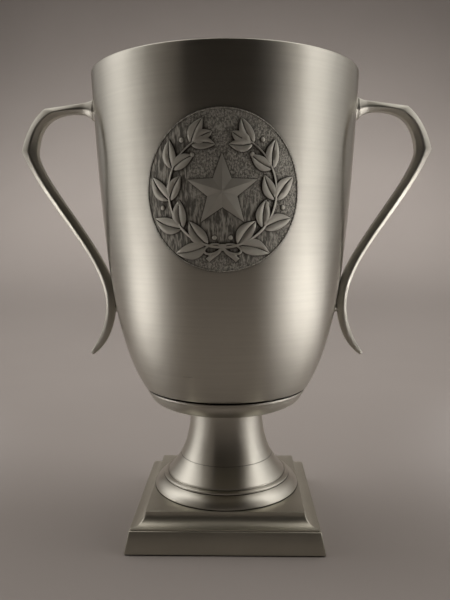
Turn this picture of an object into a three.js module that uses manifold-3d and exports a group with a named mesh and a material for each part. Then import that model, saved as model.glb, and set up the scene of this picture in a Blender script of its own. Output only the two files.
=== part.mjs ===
// A two-handled pewter cup trophy. A spun cup with cast handles and a round medallion stands on
// a dish-shaped collar, a spun pedestal and a hollow square plinth, and one tie rod from a boss
// under the cup to a nut inside the plinth holds the stack together. Nothing moves.
// Units are millimetres. +Z is up, the medallion faces -Y and the handles lie along X.
// The origin is the centre of the underside of the base felt.

import * as THREE from 'three';
import * as BufferGeometryUtils from 'three/addons/utils/BufferGeometryUtils.js';
import Module from 'manifold-3d';

const wasm = await Module();
wasm.setup();

// ---- driving dimensions ------------------------------------------------------------------

const TOTAL_HEIGHT = 304.8;        // twelve inches, from the felt to the rim
const GAP = 0.35;                  // clearance between pieces that touch

const CUP_RIM_RADIUS = 88.6;
const CUP_FOOT_RADIUS = 57.6;
const CUP_FLOOR_Z = 95.4;          // flat underside of the cup
const CUP_CORNER_HEIGHT = 1.8;     // turned corner between the underside and the wall
const CUP_CORNER_INSET = 4.6;
const CUP_CORNER_PULL = 1.2;       // how far inside the foot radius the corner's curve aims
const CUP_WALL = 1.6;
const RIM_BEAD = 0.5;              // the wall thickens inwards to a bead at the rim
const RIM_BEAD_HEIGHT = 2;
const RIM_ROUNDING = 0.5;

const COLLAR_TOP_Z = CUP_FLOOR_Z - GAP;
const COLLAR_BOTTOM_Z = 81.3;
const COLLAR_RADIUS = 54.5;
const COLLAR_LIP_RADIUS = 55.3;
const COLLAR_LIP_HEIGHT = 2.2;
const COLLAR_LIP_CHAMFER = 0.4;
const COLLAR_SEAT_RADIUS = 30;     // flat of the underside, where it rests on the pedestal
const COLLAR_RECESS_RADIUS = 47;
const COLLAR_RECESS_DEPTH = 10.4;
const COLLAR_RECESS_TAPER = 2;

const PEDESTAL_TOP_Z = COLLAR_BOTTOM_Z - GAP;
const PEDESTAL_NECK_RADIUS = 25.2;
const PEDESTAL_FLARE_RADIUS = 41;
const PEDESTAL_FLARE_Z = 34.4;
const PEDESTAL_STEP = 1.2;         // upright step from the flare down to the bead
const PEDESTAL_BEAD_RADIUS = 44.3;
const PEDESTAL_BEAD_HEIGHT = 1.8;
const PEDESTAL_BEAD_CHAMFER = 0.8;
const PEDESTAL_FOOT_RADIUS = 50.7;
const PEDESTAL_FOOT_LAND = 0.6;    // short upright edge at the very bottom
const PEDESTAL_WALL = 2.2;
const PEDESTAL_CROWN = 3;          // thickness of the closed top that the rod clamps

const PLINTH_TOP_Z = 23.7;
const PLINTH_TOP_HALF = 51.4;      // half sides of the square plinth, from the top down
const PLINTH_COVE_HALF = 59.7;
const PLINTH_BLOCK_HALF = 60.6;
const PLINTH_FOOT_HALF = 63.5;
const PLINTH_BLOCK_Z = 14.7;
const PLINTH_FILLET = 1;           // small upright step between the block and the cove
const PLINTH_FOOT_Z = 0.6;         // the metal clears the table, which only the felt meets
const PLINTH_WALL = 2.6;
const PLINTH_NECK_Z = 15.5;        // where the inside widens below the cove
const PLINTH_SHOULDER_Z = 12.1;    // where it reaches the block's full width

const FELT_THICKNESS = 1.2;
const FELT_HALF = 60.1;
const BOARD_THICKNESS = 3.2;
const BOARD_HALF = 59.2;
const WEIGHT_HALF = 47;
const WEIGHT_THICKNESS = 10;
const WEIGHT_HOLE_RADIUS = 18;

const ROD_RADIUS = 3;
const ROD_HOLE_RADIUS = 3.5;
const ROD_BOTTOM_Z = 10;
const BOSS_RADIUS = 9;
const BOSS_HEIGHT = 7.5;
const BOSS_BORE_DEPTH = 6;
const BOSS_CHAMFER = 0.8;
const WASHER_RADIUS = 14;
const WASHER_THICKNESS = 2;
const LOCK_WASHER_RADIUS = 5.8;
const LOCK_WASHER_THICKNESS = 1.5;
const NUT_ACROSS_FLATS = 10;
const NUT_HEIGHT = 5;

const MEDALLION_RADIUS = 45;       // of the flat disc, before it is bent to the cup's wall
const MEDALLION_BEND_RADIUS = 85.4;
const MEDALLION_Z = 224.1;
const MEDALLION_THICKNESS = 0.9;
const MEDALLION_RIM_WIDTH = 0.8;
const MEDALLION_RIM_HEIGHT = 0.2;

const HANDLE_PAD_X = 89.8;         // flat end of the handle's upper pad

// The solder under each end of a handle is an oval wafer with an outer face at faceX.
const TOP_SOLDER = { z: 284.3, halfHeight: 7.4, halfWidth: 7.6, faceX: HANDLE_PAD_X - GAP };
const TAIL_SOLDER = { z: 149, halfHeight: 3.2, halfWidth: 3.4, faceX: 76.6 };

const LARGE_STEPS = 48;            // facets round a large turned piece
const SMALL_STEPS = 24;            // facets round a small turned piece
const WALL_STEPS = 10;             // stretches up the cup's curved wall
const FLARE_STEPS = 8;             // stretches up the pedestal's flare and round the collar's bowl

// ---- materials ---------------------------------------------------------------------------

function metal(name, color, roughness) {
  return new THREE.MeshStandardMaterial({ name, color, roughness, metalness: 1 });
}

function dull(name, color, roughness) {
  return new THREE.MeshStandardMaterial({ name, color, roughness, metalness: 0 });
}

const spunPewter = () => metal('spun_pewter', 0xb9b1a6, 0.34);
const castPewter = () => metal('cast_pewter', 0xa39b8f, 0.42);
const antiquedPewter = () => metal('antiqued_pewter', 0x7c756b, 0.5);
const softSolder = () => metal('soft_solder', 0xc4beb4, 0.38);
const zincSteel = () => metal('zinc_steel', 0xb4b6b8, 0.35);
const castIron = () => metal('cast_iron', 0x3b3a39, 0.7);
const hardboard = () => dull('hardboard', 0x6a4a31, 0.85);
const woolFelt = () => dull('wool_felt', 0x1f2420, 0.95);

// ---- geometry helpers --------------------------------------------------------------------

function vector(radius, z) {
  return new THREE.Vector2(radius, z);
}

// Turns an outline about the Z axis. The outline runs anticlockwise in the (radius, z) plane,
// as [radius, z] pairs or Vector2s, and either starts and ends on the axis or closes on itself.
function turned(outline, steps) {
  const points = outline.map((p) => (Array.isArray(p) ? vector(p[0], p[1]) : p.clone()));
  if (points[0].x > 0) {
    points.push(points[0].clone());
  }
  const geometry = new THREE.LatheGeometry(points, steps);
  geometry.rotateX(Math.PI / 2);
  return geometry;
}

// The same with four sides, for an outline given as half sides of a square.
function squareTurned(outline) {
  const geometry = turned(outline.map((p) => vector(p.x * Math.SQRT2, p.y)), 4);
  geometry.rotateZ(Math.PI / 4);
  return geometry;
}

// A round washer, bush or bar along Z. A hole radius of zero makes it solid.
function ring(radius, holeRadius, lowZ, highZ, steps) {
  return turned([[holeRadius, lowZ], [radius, lowZ], [radius, highZ], [holeRadius, highZ]], steps);
}

// A flat plate between two heights, from a shape drawn in the XY plane.
function plate(shape, lowZ, thickness) {
  const options = { depth: thickness, bevelEnabled: false, curveSegments: SMALL_STEPS };
  const geometry = new THREE.ExtrudeGeometry(shape, options);
  geometry.translate(0, 0, lowZ);
  return geometry;
}

function square(half) {
  return new THREE.Shape([
    vector(-half, -half), vector(half, -half), vector(half, half), vector(-half, half),
  ]);
}

// Points along a curve, moved sideways by a distance: positive is to the right of its run.
function offsetPoints(curve, distance, steps) {
  const points = [];
  for (let i = 0; i <= steps; i += 1) {
    const at = curve.getPoint(i / steps);
    const along = curve.getTangent(i / steps);
    points.push(vector(at.x + along.y * distance, at.y - along.x * distance));
  }
  return points;
}

function toSolid(geometry) {
  const bare = geometry.clone();
  bare.deleteAttribute('normal');
  bare.deleteAttribute('uv');
  const merged = BufferGeometryUtils.mergeVertices(bare, 1e-4);
  const corners = merged.index.array;
  const triVerts = [];
  for (let i = 0; i < corners.length; i += 3) {
    const [a, b, c] = corners.slice(i, i + 3);
    if (a !== b && b !== c && c !== a) {
      triVerts.push(a, b, c);
    }
  }
  const vertProperties = new Float32Array(merged.attributes.position.array);
  const mesh = { numProp: 3, vertProperties, triVerts: new Uint32Array(triVerts) };
  return new wasm.Manifold(new wasm.Mesh(mesh));
}

function toGeometry(solid) {
  const mesh = solid.getMesh();
  const geometry = new THREE.BufferGeometry();
  geometry.setAttribute('position', new THREE.BufferAttribute(mesh.vertProperties, 3));
  geometry.setIndex(new THREE.BufferAttribute(mesh.triVerts, 1));
  geometry.computeVertexNormals();
  return geometry;
}

// Skins a row of sections, each a list of points that all go the same way round, and closes
// both ends.
function loft(sections) {
  const sides = sections[0].length;
  const index = [];
  for (let r = 0; r < sections.length - 1; r += 1) {
    for (let s = 0; s < sides; s += 1) {
      const a = r * sides + s;
      const b = r * sides + ((s + 1) % sides);
      index.push(a, b, b + sides, a, b + sides, a + sides);
    }
  }
  const last = (sections.length - 1) * sides;
  for (let s = 1; s < sides - 1; s += 1) {
    index.push(0, s + 1, s);
    index.push(last, last + s, last + s + 1);
  }
  const positions = sections.flat().flatMap((p) => [p.x, p.y, p.z]);
  const geometry = new THREE.BufferGeometry();
  geometry.setAttribute('position', new THREE.Float32BufferAttribute(positions, 3));
  geometry.setIndex(index);
  geometry.computeVertexNormals();
  return geometry;
}

// ---- the cup -----------------------------------------------------------------------------

// The outside of the wall is one long curve, from the turned corner up to the rim.
const cupWall = new THREE.CubicBezierCurve(
  vector(CUP_FOOT_RADIUS, CUP_FLOOR_Z + CUP_CORNER_HEIGHT),
  vector(75.6, 128.7),
  vector(82.7, 173.8),
  vector(CUP_RIM_RADIUS, TOTAL_HEIGHT),
);

function cupShell() {
  const cornerLow = vector(CUP_FOOT_RADIUS - CUP_CORNER_INSET, CUP_FLOOR_Z);
  const cornerPull = vector(CUP_FOOT_RADIUS - CUP_CORNER_PULL, CUP_FLOOR_Z);
  const corner = new THREE.QuadraticBezierCurve(cornerLow, cornerPull, cupWall.v0);
  const rimInside = CUP_RIM_RADIUS - CUP_WALL - RIM_BEAD;
  const outside = offsetPoints(cupWall, 0, WALL_STEPS);
  const inside = offsetPoints(cupWall, -CUP_WALL, WALL_STEPS).reverse();
  return turned([
    [0, CUP_FLOOR_Z],
    ...corner.getPoints(3).slice(0, -1),
    ...outside.slice(0, -1),
    [CUP_RIM_RADIUS, TOTAL_HEIGHT - RIM_ROUNDING],
    [CUP_RIM_RADIUS - RIM_ROUNDING, TOTAL_HEIGHT],
    [rimInside + RIM_ROUNDING, TOTAL_HEIGHT],
    [rimInside, TOTAL_HEIGHT - RIM_ROUNDING],
    [rimInside, TOTAL_HEIGHT - RIM_BEAD_HEIGHT],
    ...inside.slice(1),
    [cornerLow.x, CUP_FLOOR_Z + CUP_WALL],
    [0, CUP_FLOOR_Z + CUP_WALL],
  ], LARGE_STEPS);
}

// The space that the cup fills, grown by a clearance: it trims what is soldered to the wall.
function cupClearance() {
  const wall = offsetPoints(cupWall, GAP, WALL_STEPS);
  const axisLow = vector(0, wall[0].y);
  const axisHigh = vector(0, wall[wall.length - 1].y);
  return toSolid(turned([axisLow, ...wall, axisHigh], LARGE_STEPS));
}

// A blind threaded boss soldered under the cup's floor: the tie rod screws into it.
function cupBoss() {
  const top = CUP_FLOOR_Z - GAP;
  const low = top - BOSS_HEIGHT;
  const bore = ROD_RADIUS + GAP;
  return turned([
    [0, low + BOSS_BORE_DEPTH],
    [bore, low + BOSS_BORE_DEPTH],
    [bore, low],
    [BOSS_RADIUS - BOSS_CHAMFER, low],
    [BOSS_RADIUS, low + BOSS_CHAMFER],
    [BOSS_RADIUS, top],
    [0, top],
  ], SMALL_STEPS);
}

// ---- the medallion -----------------------------------------------------------------------

// A sheet that follows the cup's wall, between two distances from it.
function wallSheet(near, far) {
  const inner = offsetPoints(cupWall, near, WALL_STEPS).reverse();
  const outer = offsetPoints(cupWall, far, WALL_STEPS);
  return toSolid(turned([...outer, ...inner], 2 * LARGE_STEPS));
}

// A bar along -Y through the medallion's centre, which cuts the edge of a round disc that has
// been bent to the wall: bending draws its sides in a little.
function medallionCutter(radius) {
  const outline = [];
  for (let i = 0; i < LARGE_STEPS; i += 1) {
    const angle = (2 * Math.PI * i) / LARGE_STEPS;
    const bend = (radius * Math.cos(angle)) / MEDALLION_BEND_RADIUS;
    outline.push(vector(MEDALLION_BEND_RADIUS * Math.sin(bend), radius * Math.sin(angle)));
  }
  const cutter = plate(new THREE.Shape(outline), 0, 2 * CUP_RIM_RADIUS);
  cutter.rotateX(Math.PI / 2);
  cutter.translate(0, 0, MEDALLION_Z);
  return toSolid(cutter);
}

// A thin cast disc, bowed to the cup's wall, with a low raised rim.
function medallion() {
  const face = GAP + MEDALLION_THICKNESS;
  const wholeCutter = medallionCutter(MEDALLION_RADIUS);
  const innerCutter = medallionCutter(MEDALLION_RADIUS - MEDALLION_RIM_WIDTH);
  const disc = wallSheet(GAP, face).intersect(wholeCutter);
  const rimSheet = wallSheet(GAP, face + MEDALLION_RIM_HEIGHT);
  const rim = rimSheet.intersect(wholeCutter).subtract(innerCutter);
  return toGeometry(disc.add(rim));
}

// ---- the handles -------------------------------------------------------------------------

// A handle lies in the XZ plane. Each span pairs a stretch of its outer edge with a stretch of
// its inner edge. It says how far the bar reaches in Y at its start and its end, and where the
// ridge along each side lies there, as a share of the way from the inner edge to the outer.
function handleSpans() {
  const quad = (...p) => new THREE.QuadraticBezierCurve(p[0], p[1], p[2]);
  const cubic = (...p) => new THREE.CubicBezierCurve(p[0], p[1], p[2], p[3]);
  const line = (...p) => new THREE.LineCurve(p[0], p[1]);
  const neckOuter = vector(95, 289.4);
  const neckInner = vector(96.5, 281.8);
  const crownOuter = vector(122.5, 285.6);
  const crownInner = vector(112, 281);
  const elbowOuter = vector(139, 257);
  const elbowInner = vector(128.6, 256);
  const restOuter = vector(83.8, 152);
  const restInner = vector(77, 155);
  return [
    {
      outer: quad(vector(HANDLE_PAD_X, 291), vector(91.5, 289.9), neckOuter),
      inner: quad(vector(HANDLE_PAD_X, 277.6), vector(92, 281), neckInner),
      reach: [7, 5.2],
      ridge: [0.42, 0.42],
      steps: 3,
    },
    {
      outer: line(neckOuter, crownOuter),
      inner: quad(neckInner, vector(104, 283.2), crownInner),
      reach: [5.2, 5.8],
      ridge: [0.42, 0.42],
      steps: 4,
    },
    {
      outer: quad(crownOuter, vector(134.5, 276), elbowOuter),
      inner: quad(crownInner, vector(127, 277), elbowInner),
      reach: [5.8, 6],
      ridge: [0.42, 0.5],
      steps: 7,
    },
    {
      outer: cubic(elbowOuter, vector(121, 215), vector(84.5, 186), restOuter),
      inner: cubic(elbowInner, vector(127.5, 236), vector(76.3, 184), restInner),
      reach: [6, 4.6],
      ridge: [0.5, 0.72],
      steps: 14,
    },
    {
      outer: quad(restOuter, vector(84, 134), vector(95.6, 118.2)),
      inner: quad(restInner, vector(78, 128), vector(93, 116.8)),
      reach: [4.6, 2.4],
      ridge: [0.72, 0.4],
      steps: 7,
    },
  ];
}

// One six-sided section between an outer and an inner point: a ridge runs along each side.
function handleSection(outer, inner, reach, ridge, side) {
  const ring6 = [[1, 0.6], [ridge, 1], [0, 0.5], [0, -0.5], [ridge, -1], [1, -0.6]];
  const points = ring6.map(([share, width]) => {
    const at = inner.clone().lerp(outer, share);
    return new THREE.Vector3(side * at.x, width * reach, at.y);
  });
  return side < 0 ? points : points.reverse();
}

function handle(side) {
  const sections = [];
  handleSpans().forEach((span, spanNumber) => {
    for (let i = spanNumber === 0 ? 0 : 1; i <= span.steps; i += 1) {
      const share = i / span.steps;
      const reach = THREE.MathUtils.lerp(span.reach[0], span.reach[1], share);
      const ridge = THREE.MathUtils.lerp(span.ridge[0], span.ridge[1], share);
      const [outer, inner] = [span.outer.getPoint(share), span.inner.getPoint(share)];
      sections.push(handleSection(outer, inner, reach, ridge, side));
    }
  });
  return loft(sections);
}

// An oval bar of solder that runs along X into the cup, trimmed back to the cup's wall.
function solderWafer(side, { z, halfHeight, halfWidth, faceX }) {
  const oval = new THREE.Shape().absellipse(0, 0, halfHeight, halfWidth, 0, 2 * Math.PI);
  const depth = faceX - CUP_FOOT_RADIUS;
  const wafer = plate(oval, CUP_FOOT_RADIUS, depth);
  wafer.rotateY(Math.PI / 2);
  wafer.translate(0, 0, z);
  if (side < 0) {
    wafer.rotateZ(Math.PI);
  }
  return toGeometry(toSolid(wafer).subtract(cupClearance()));
}

// ---- the collar and the pedestal ---------------------------------------------------------

// A shallow dish with a rolled lip. The cup's floor stands on its flat top, round a recess.
function collarDish() {
  const bowl = new THREE.CubicBezierCurve(
    vector(COLLAR_SEAT_RADIUS, COLLAR_BOTTOM_Z),
    vector(43, COLLAR_BOTTOM_Z),
    vector(52.5, COLLAR_BOTTOM_Z + 3.2),
    vector(COLLAR_RADIUS, COLLAR_TOP_Z - COLLAR_LIP_HEIGHT),
  );
  return turned([
    [ROD_HOLE_RADIUS, COLLAR_BOTTOM_Z],
    ...bowl.getPoints(FLARE_STEPS),
    [COLLAR_LIP_RADIUS, COLLAR_TOP_Z - COLLAR_LIP_HEIGHT + COLLAR_LIP_CHAMFER],
    [COLLAR_LIP_RADIUS, COLLAR_TOP_Z - COLLAR_LIP_CHAMFER],
    [COLLAR_LIP_RADIUS - COLLAR_LIP_CHAMFER, COLLAR_TOP_Z],
    [COLLAR_RECESS_RADIUS, COLLAR_TOP_Z],
    [COLLAR_RECESS_RADIUS - COLLAR_RECESS_TAPER, COLLAR_TOP_Z - COLLAR_RECESS_DEPTH],
    [ROD_HOLE_RADIUS, COLLAR_TOP_Z - COLLAR_RECESS_DEPTH],
  ], LARGE_STEPS);
}

// A hollow trumpet: a flare, a raised bead between two small steps, and a convex foot.
function pedestal() {
  const bottom = PLINTH_TOP_Z + GAP;
  const flare = new THREE.CubicBezierCurve(
    vector(PEDESTAL_FLARE_RADIUS, PEDESTAL_FLARE_Z),
    vector(32, 44),
    vector(PEDESTAL_NECK_RADIUS, 55),
    vector(PEDESTAL_NECK_RADIUS, PEDESTAL_TOP_Z),
  );
  const beadTop = PEDESTAL_FLARE_Z - PEDESTAL_STEP;
  const foot = new THREE.QuadraticBezierCurve(
    vector(PEDESTAL_FOOT_RADIUS, bottom + PEDESTAL_FOOT_LAND),
    vector(49.2, 29.4),
    vector(PEDESTAL_BEAD_RADIUS, beadTop - PEDESTAL_BEAD_HEIGHT),
  );
  const hollow = offsetPoints(flare, -PEDESTAL_WALL, FLARE_STEPS).reverse();
  return turned([
    [ROD_HOLE_RADIUS, PEDESTAL_TOP_Z - PEDESTAL_CROWN],
    [PEDESTAL_NECK_RADIUS - PEDESTAL_WALL, PEDESTAL_TOP_Z - PEDESTAL_CROWN],
    ...hollow.slice(1),
    [PEDESTAL_FOOT_RADIUS - PEDESTAL_WALL, bottom],
    [PEDESTAL_FOOT_RADIUS, bottom],
    ...foot.getPoints(4),
    [PEDESTAL_BEAD_RADIUS, beadTop - PEDESTAL_BEAD_CHAMFER],
    [PEDESTAL_BEAD_RADIUS - PEDESTAL_BEAD_CHAMFER, beadTop],
    [PEDESTAL_FLARE_RADIUS, beadTop],
    ...flare.getPoints(FLARE_STEPS),
    [ROD_HOLE_RADIUS, PEDESTAL_TOP_Z],
  ], LARGE_STEPS);
}

// ---- the plinth --------------------------------------------------------------------------

const plinthCeilingZ = PLINTH_TOP_Z - PLINTH_WALL;
const boardBottomZ = FELT_THICKNESS + GAP;
const boardTopZ = boardBottomZ + BOARD_THICKNESS;

// A hollow square casting: a drafted block, a small fillet, and a cove up to the flat top.
function plinthShell() {
  const coveLow = vector(PLINTH_COVE_HALF, PLINTH_BLOCK_Z + PLINTH_FILLET);
  const coveHigh = vector(PLINTH_TOP_HALF, PLINTH_TOP_Z);
  const covePull = vector(PLINTH_TOP_HALF + 0.5, coveLow.y + 0.2);
  const cove = new THREE.QuadraticBezierCurve(coveLow, covePull, coveHigh);
  const shell = squareTurned([
    vector(0, plinthCeilingZ),
    vector(PLINTH_TOP_HALF - PLINTH_WALL, plinthCeilingZ),
    vector(PLINTH_TOP_HALF - PLINTH_WALL, PLINTH_NECK_Z),
    vector(PLINTH_BLOCK_HALF - PLINTH_WALL, PLINTH_SHOULDER_Z),
    vector(PLINTH_FOOT_HALF - PLINTH_WALL, PLINTH_FOOT_Z),
    vector(PLINTH_FOOT_HALF, PLINTH_FOOT_Z),
    vector(PLINTH_BLOCK_HALF, PLINTH_BLOCK_Z),
    vector(PLINTH_COVE_HALF, PLINTH_BLOCK_Z),
    ...cove.getPoints(6),
    vector(0, PLINTH_TOP_Z),
  ]);
  const rodHole = ring(ROD_HOLE_RADIUS, 0, plinthCeilingZ - 1, PLINTH_TOP_Z + 1, SMALL_STEPS);
  return toGeometry(toSolid(shell).subtract(toSolid(rodHole)));
}

function plinthWeight() {
  const outline = square(WEIGHT_HALF);
  outline.holes.push(new THREE.Path().absarc(0, 0, WEIGHT_HOLE_RADIUS, 0, 2 * Math.PI));
  return plate(outline, boardTopZ + GAP, WEIGHT_THICKNESS);
}

// ---- the tie rod and its fastenings ------------------------------------------------------

const washerTopZ = plinthCeilingZ - GAP;
const lockWasherTopZ = washerTopZ - WASHER_THICKNESS - GAP;
const nutTopZ = lockWasherTopZ - LOCK_WASHER_THICKNESS - GAP;

function tieRod() {
  const top = CUP_FLOOR_Z - GAP - BOSS_HEIGHT + BOSS_BORE_DEPTH - GAP;
  return ring(ROD_RADIUS, 0, ROD_BOTTOM_Z, top, SMALL_STEPS);
}

function washer(radius, topZ, thickness) {
  return ring(radius, ROD_HOLE_RADIUS, topZ - thickness, topZ, SMALL_STEPS);
}

function tieNut() {
  const cornerRadius = NUT_ACROSS_FLATS / Math.sqrt(3);
  const corners = [];
  for (let i = 0; i < 6; i += 1) {
    const angle = (i * Math.PI) / 3;
    corners.push(vector(cornerRadius * Math.cos(angle), cornerRadius * Math.sin(angle)));
  }
  const outline = new THREE.Shape(corners);
  outline.holes.push(new THREE.Path().absarc(0, 0, ROD_RADIUS + GAP, 0, 2 * Math.PI));
  return plate(outline, nutTopZ - NUT_HEIGHT, NUT_HEIGHT);
}

// ---- the assembly ------------------------------------------------------------------------

const root = new THREE.Group();

function add(name, geometry, material) {
  const mesh = new THREE.Mesh(geometry, material);
  mesh.name = name;
  root.add(mesh);
}

add('cup_shell', cupShell(), spunPewter());
add('cup_boss', cupBoss(), castPewter());
add('medallion', medallion(), antiquedPewter());

for (const [name, side] of [['left', -1], ['right', 1]]) {
  add(`handle_${name}`, handle(side), castPewter());
  add(`solder_top_${name}`, solderWafer(side, TOP_SOLDER), softSolder());
  add(`solder_tail_${name}`, solderWafer(side, TAIL_SOLDER), softSolder());
}

add('collar_dish', collarDish(), spunPewter());
add('pedestal', pedestal(), spunPewter());
add('plinth_shell', plinthShell(), castPewter());
add('plinth_weight', plinthWeight(), castIron());
add('base_board', plate(square(BOARD_HALF), boardBottomZ, BOARD_THICKNESS), hardboard());
add('base_felt', plate(square(FELT_HALF), 0, FELT_THICKNESS), woolFelt());

add('tie_rod', tieRod(), zincSteel());
add('clamp_washer', washer(WASHER_RADIUS, washerTopZ, WASHER_THICKNESS), zincSteel());
const lockWasher = washer(LOCK_WASHER_RADIUS, lockWasherTopZ, LOCK_WASHER_THICKNESS);
add('lock_washer', lockWasher, zincSteel());
add('tie_nut', tieNut(), zincSteel());

export default root;
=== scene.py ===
import math

import bpy
from mathutils import Matrix, Vector


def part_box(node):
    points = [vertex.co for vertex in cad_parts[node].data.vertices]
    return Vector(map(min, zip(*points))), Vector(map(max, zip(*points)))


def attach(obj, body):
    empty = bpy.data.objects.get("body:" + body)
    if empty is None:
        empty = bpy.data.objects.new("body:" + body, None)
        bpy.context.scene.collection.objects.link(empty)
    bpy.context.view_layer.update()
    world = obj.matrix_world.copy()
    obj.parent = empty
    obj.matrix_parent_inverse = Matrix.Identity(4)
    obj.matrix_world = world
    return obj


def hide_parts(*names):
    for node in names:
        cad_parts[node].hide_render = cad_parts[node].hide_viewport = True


# The looks of a two-handled pewter cup trophy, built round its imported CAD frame.
# Everything is in metres: +Z is up, the medallion faces -Y and the handles lie along X.

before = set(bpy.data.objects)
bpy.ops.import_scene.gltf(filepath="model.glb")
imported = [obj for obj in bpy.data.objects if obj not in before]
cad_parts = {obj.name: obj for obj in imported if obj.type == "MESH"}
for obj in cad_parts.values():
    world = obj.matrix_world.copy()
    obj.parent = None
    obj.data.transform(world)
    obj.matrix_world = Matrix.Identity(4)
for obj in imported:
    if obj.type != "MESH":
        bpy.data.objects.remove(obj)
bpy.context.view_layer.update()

MM = 0.001
ROUND_STEPS = 192

# ---- places taken from the frame ----

CUP_LOW, CUP_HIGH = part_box("cup_shell")
COLLAR_LOW, COLLAR_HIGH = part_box("collar_dish")
PEDESTAL_LOW, PEDESTAL_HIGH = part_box("pedestal")
PLINTH_LOW, PLINTH_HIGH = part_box("plinth_shell")
MEDALLION_LOW, MEDALLION_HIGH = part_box("medallion")
FELT_LOW, FELT_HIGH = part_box("base_felt")

# ---- mesh helpers ----


def make_object(name, vertices, faces, material, sharp_degrees=38):
    """A smooth-shaded mesh object whose edges stay sharp past an angle."""
    mesh = bpy.data.meshes.new(name)
    mesh.from_pydata(vertices, [], faces)
    mesh.validate()
    mesh.shade_smooth()
    mesh.set_sharp_from_angle(angle=math.radians(sharp_degrees))
    mesh.materials.append(material)
    piece = bpy.data.objects.new(name, mesh)
    bpy.context.scene.collection.objects.link(piece)
    return piece


def finish_piece(piece, slot, *nodes):
    """The piece rides on the trophy and stands for CAD nodes, which it hides. The slot is not used.
    """
    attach(piece, "root")
    if nodes:
        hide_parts(*nodes)


def polar(radius, degrees, height=0.0):
    """A point at a distance and a direction from the middle, and at a height."""
    angle = math.radians(degrees)
    return (radius * math.cos(angle), radius * math.sin(angle), height)


def bezier(points, share):
    """A point on a Bezier curve with any number of control points."""
    points = [Vector(p) for p in points]
    while len(points) > 1:
        points = [a.lerp(b, share) for a, b in zip(points, points[1:])]
    return points[0]


def bezier_run(points, steps):
    """Points at even shares along a Bezier curve."""
    return [tuple(bezier(points, i / steps)) for i in range(steps + 1)]


def filleted(outline, closed, steps=4):
    """Rounds the corners of an outline of (u, v) or (u, v, fillet radius) points."""
    rounded = []
    count = len(outline)
    for i, point in enumerate(outline):
        at = Vector(point[:2])
        radius = point[2] if len(point) > 2 else 0
        if not radius or (not closed and i in (0, count - 1)):
            rounded.append(tuple(at))
            continue
        back = Vector(outline[i - 1][:2]) - at
        ahead = Vector(outline[(i + 1) % count][:2]) - at
        half_angle = back.angle(ahead) / 2
        reach = min(radius / math.tan(half_angle), 0.49 * back.length, 0.49 * ahead.length)
        start = at + back.normalized() * reach
        end = at + ahead.normalized() * reach
        centre = at + (back.normalized() + ahead.normalized()).normalized() * (
            reach / math.cos(half_angle)
        )
        sweep = (start - centre).angle_signed(end - centre)
        for k in range(steps + 1):
            turn = Matrix.Rotation(-sweep * k / steps, 2)
            rounded.append(tuple(centre + turn @ (start - centre)))
    return rounded


def turned(name, outline, steps, material, closed=True):
    """Turns an anticlockwise (radius, z) outline about Z. It closes on itself or on the axis."""
    vertices = []
    rings = []
    for radius, z in outline:
        if radius == 0:
            rings.append([len(vertices)] * steps)
            vertices.append((0, 0, z))
            continue
        rings.append(list(range(len(vertices), len(vertices) + steps)))
        vertices += [polar(radius, 360 * i / steps, z) for i in range(steps)]
    pairs = list(zip(rings, rings[1:]))
    if closed:
        pairs.append((rings[-1], rings[0]))
    faces = []
    for low, high in pairs:
        for i in range(steps):
            j = (i + 1) % steps
            face = list(dict.fromkeys((low[i], low[j], high[j], high[i])))
            if len(face) > 2:
                faces.append(face)
    return make_object(name, vertices, faces, material)


def ring_faces(rings, sides, joined=False):
    """The faces between the rings of a row. In a joined row the last ring meets the first."""
    total = rings * sides
    faces = []
    for start in range(0, total if joined else total - sides, sides):
        for s in range(sides):
            a, b = start + s, start + (s + 1) % sides
            faces.append([a, b, (b + sides) % total, (a + sides) % total])
    return faces


def skinned(name, sections, material, sharp_degrees=38):
    """Skins a row of sections, each a ring of points, and closes both ends with a fan."""
    sides = len(sections[0])
    vertices = [tuple(p) for section in sections for p in section]
    faces = ring_faces(len(sections), sides)
    for first, section in ((0, sections[0]), (len(vertices) - sides, sections[-1])):
        middle = sum((Vector(p) for p in section), Vector()) / sides
        hub = len(vertices)
        vertices.append(tuple(middle))
        for s in range(sides):
            a, b = first + s, first + (s + 1) % sides
            faces.append([b, a, hub] if first == 0 else [a, b, hub])
    return make_object(name, vertices, faces, material, sharp_degrees)


def looped(name, sections, material, sharp_degrees=38):
    """Skins a row of rings of which the last joins the first."""
    vertices = [tuple(p) for section in sections for p in section]
    faces = ring_faces(len(sections), len(sections[0]), joined=True)
    return make_object(name, vertices, faces, material, sharp_degrees)


def grid_patch(rows):
    """Vertices and faces of a rectangular grid of points."""
    width = len(rows[0])
    vertices = [tuple(p) for row in rows for p in row]
    faces = []
    for r in range(len(rows) - 1):
        for c in range(width - 1):
            a = r * width + c
            faces.append([a, a + 1, a + 1 + width, a + width])
    return vertices, faces


# ---- materials ----


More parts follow.
